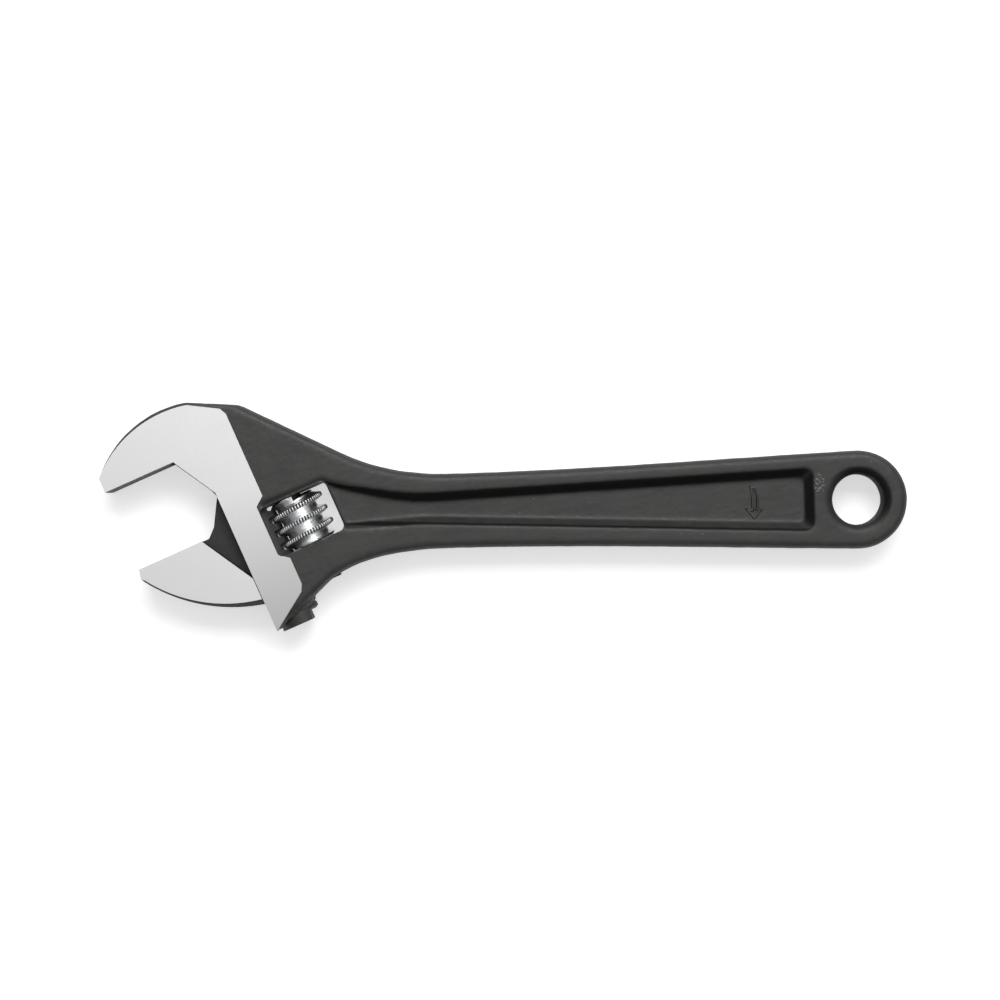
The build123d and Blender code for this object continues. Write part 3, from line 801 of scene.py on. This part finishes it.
def ground_parts(f, painted_falloff):
    """Colour, roughness and normal of fine-ground steel; its reflected light may be painted darker towards
    the housing's end.
    """
    lay = f.placed(-TURN + math.radians(74), (1, 0.06, 1))
    lines = f.noise(0.07, 3.0, 0.6, lay)
    broad = f.noise(4.0, 3.0)
    scratch = f.placed(-TURN + math.radians(20), (1, 0.02, 1))
    scratches = f.ranged(f.noise(0.25, 1.0, 0.5, scratch), 0.66, 0.72, 0.0, 0.16)
    scratches = f.math("MULTIPLY", scratches, f.ranged(f.noise(2.5, 1.0), 0.5, 0.62, 0.0, 1.0))
    tone = f.blend(f.ranged(lines, 0.3, 0.7, 0, 1), grey(GROUND_TONE * 0.985), grey(GROUND_TONE * 1.01))
    tone = f.blend(f.ranged(broad, 0.35, 0.65, 0, 0.5), tone, grey(GROUND_TONE * 0.95, 0.004))
    tone = f.blend(scratches, tone, grey(min(1.0, GROUND_TONE * 1.15)))
    # painted shade: the steel's reflected light is made darker towards the housing's end
    fall = f.nodes.new("ShaderNodeVectorMath")
    fall.operation = "DOT_PRODUCT"
    f.links.new(f.where, fall.inputs[0])
    fall.inputs[1].default_value = OPENING
    start = HEAD.dot(OPENING)
    along = f.ranged(fall.outputs["Value"], start + 7 * MM, start + 28 * MM, 0.0, 1.0)
    tone = f.blend(f.math("MULTIPLY", along, painted_falloff), tone, grey(GROUND_TONE * 0.66, 0.005))
    rough = f.math("ADD", f.ranged(lines, 0.3, 0.7, 0.31, 0.37), f.ranged(broad, 0.3, 0.7, -0.02, 0.03))
    return tone, rough, f.bump(lines, 0.0008)


CHIP_SPOT = (-5.6, 2.4)      # middle and half size of the cluster of chips, part-frame millimetres
CHIP_REACH = (0.9, 1.7)
CHIPS_ABOVE = 2.4 * MM


def chips(f):
    """Bright specks where the black has come off: a cluster beside the eye and a few along the handle."""
    split = f.nodes.new("ShaderNodeSeparateXYZ")
    f.links.new(f.where, split.inputs[0])
    x = f.math("DIVIDE", f.math("SUBTRACT", split.outputs["X"], CHIP_SPOT[0] * MM), CHIP_REACH[0] * MM)
    y = f.math("DIVIDE", f.math("SUBTRACT", split.outputs["Y"], CHIP_SPOT[1] * MM), CHIP_REACH[1] * MM)
    away = f.math("SQRT", f.math("ADD", f.math("MULTIPLY", x, x), f.math("MULTIPLY", y, y)))
    near = f.ranged(away, 0.55, 1.1, 1.0, 0.0)
    above = f.math("GREATER_THAN", split.outputs["Z"], CHIPS_ABOVE)
    specks = f.ranged(f.noise(0.32, 2.0, 0.6), 0.55, 0.60, 0.0, 1.0)
    cluster = f.math("MULTIPLY", f.math("MULTIPLY", specks, near), above)
    stray_zones = f.ranged(f.noise(5.0, 1.0), 0.58, 0.68, 0, 1)
    strays = f.math("MULTIPLY", f.ranged(f.noise(0.4, 1.0), 0.73, 0.77, 0.0, 0.6), stray_zones)
    return f.math("MAXIMUM", cluster, strays, clamp=True)


def edge_wear_and_highlight(f, low, high, share):
    """Rubbed high edges, partly a painted highlight, broken up by noise, from the stored curvature."""
    node = f.nodes.new("ShaderNodeAttribute")
    node.attribute_name = "proud"
    patchy = f.ranged(f.noise(1.1, 3.0), 0.35, 0.7, 0.0, 1.0)
    edge = f.ranged(node.outputs["Fac"], low, high, 0.0, 1.0)
    return f.math("MULTIPLY", f.math("MULTIPLY", edge, patchy), share, clamp=True)


forged = Finish("forged_black")
rubbed_and_highlit = edge_wear_and_highlight(forged, 0.012, 0.05, 0.35)
wear_and_highlight = forged.math("MAXIMUM", rubbed_and_highlit, forged.math("MULTIPLY", chips(forged), 0.9))
tone, rough, normal = forged_parts(forged, wear_and_highlight)
# painted shade: the recess's flanks, the eye's bevel and the lower flank's band are made darker and their
# sheen dimmed
painted_inward_shade = forged.nodes.new("ShaderNodeAttribute")
painted_inward_shade.attribute_name = "painted_inward_shade"
tone = forged.blend(forged.math("MULTIPLY", painted_inward_shade.outputs["Fac"], 0.85), tone, grey(FORGED_TONE * 0.22))
forged.set(Base_Color=tone, Roughness=rough, Normal=normal, Metallic=0.0)
matt_at_grazing(forged, painted_inward_shade.outputs["Fac"])

ground = Finish("ground_steel")
tone, rough, normal = ground_parts(ground, 1.0)
ground.set(Base_Color=tone, Roughness=rough, Normal=normal, Metallic=1.0)

chrome = Finish("chrome")
haze = chrome.noise(1.2, 2.0)
notch_and_shade = chrome.nodes.new("ShaderNodeAttribute")
notch_and_shade.attribute_name = "notch_and_shade"
plated = chrome.blend(haze, grey(0.88, -0.01), grey(0.97, -0.005))
# painted shade: the knurl's notches are coloured near-black
chrome.set(Base_Color=chrome.blend(notch_and_shade.outputs["Fac"], plated, grey(0.03)), Metallic=1.0,
           Roughness=chrome.ranged(haze, 0.3, 0.7, 0.26, 0.34),
           Normal=chrome.bump(chrome.noise(0.35, 2.0), 0.0015))

pin = Finish("pin_dark_steel")
haze = pin.noise(0.5, 3.0)
pin.set(Base_Color=pin.blend(haze, grey(0.03, 0.02), grey(0.07, 0.02)), Metallic=0.35,
        Roughness=pin.ranged(haze, 0.3, 0.7, 0.32, 0.5), Normal=pin.bump(pin.noise(0.3, 2.0), 0.008))

spring = Finish("spring_wire")
haze = spring.noise(0.3, 2.0)
spring.set(Base_Color=spring.blend(haze, grey(0.42), grey(0.55)), Metallic=1.0,
           Roughness=spring.ranged(haze, 0.3, 0.7, 0.22, 0.34), Normal=spring.bump(haze, 0.004))


NECK_TOP = 1.6 * MM          # the thin neck lies below this height, the jaw above it
AT_SIDE_FACE = 0.012 * MM
NECK_PAINTED_SHADE = (0.75, 0.35)   # share and tone of the painted shade that darkens the black on the neck


def mixed_by_height(name):
    """Ground steel on the two side faces and blackened forging everywhere else, told apart by height."""
    f = Finish(name)
    split = f.nodes.new("ShaderNodeSeparateXYZ")
    f.links.new(f.where, split.inputs[0])
    height = f.math("ABSOLUTE", split.outputs["Z"])
    side = f.math("GREATER_THAN", height, SIDE_FACE - AT_SIDE_FACE)
    facing = f.nodes.new("ShaderNodeNewGeometry")
    normal_z = f.nodes.new("ShaderNodeSeparateXYZ")
    f.links.new(facing.outputs["True Normal"], normal_z.inputs[0])
    flat = f.math("GREATER_THAN", f.math("ABSOLUTE", normal_z.outputs["Z"]), 0.9)
    share = f.math("MULTIPLY", side, flat)
    tone_a, rough_a, normal_a = forged_parts(f, 0.0)
    # painted shade: the black below NECK_TOP is made darker
    low = f.math("LESS_THAN", height, NECK_TOP)
    tone_a = f.blend(f.math("MULTIPLY", low, NECK_PAINTED_SHADE[0]), tone_a, grey(FORGED_TONE * NECK_PAINTED_SHADE[1]))
    tone_b, rough_b, normal_b = ground_parts(f, 0.0)
    turned = f.nodes.new("ShaderNodeMix")
    turned.data_type = "VECTOR"
    f.links.new(share, turned.inputs["Factor"])
    f.links.new(normal_a, turned.inputs["A"])
    f.links.new(normal_b, turned.inputs["B"])
    rest = f.math("SUBTRACT", 1.0, share)
    mix_rough = f.math("ADD", f.math("MULTIPLY", rough_b, share), f.math("MULTIPLY", rough_a, rest))
    vectors = [socket for socket in turned.outputs if socket.type == "VECTOR"]
    f.set(Base_Color=f.blend(share, tone_a, tone_b), Roughness=mix_rough, Metallic=share, Normal=vectors[0])
    matt_at_grazing(f)
    return f.material


def dress(piece, *materials):
    piece.data.materials.clear()
    for material in materials:
        piece.data.materials.append(material)


def dress_ground_faces(piece):
    """Second material, and flat shading, on the faces that lie in the ground side faces."""
    heights = points_of(piece.data)[:, 2]
    slots = np.zeros(len(piece.data.polygons), dtype=np.int32)
    for face in piece.data.polygons:
        if all(abs(abs(heights[v]) - SIDE_FACE) < 2 * FLAT for v in face.vertices):
            slots[face.index] = 1
    piece.data.polygons.foreach_set("material_index", slots)
    piece.data.polygons.foreach_set("use_smooth", slots == 0)


dress(body, forged.material, ground.material)
dress_ground_faces(body)
dress(worm, chrome.material)
dress(frame["nodes"]["body"], forged.material)
dress(frame["nodes"]["worm"], chrome.material)
dress(frame["nodes"]["movable_jaw"], mixed_by_height("jaw_finish"))
dress(frame["nodes"]["worm_pin"], pin.material)
dress(frame["nodes"]["worm_spring"], spring.material)
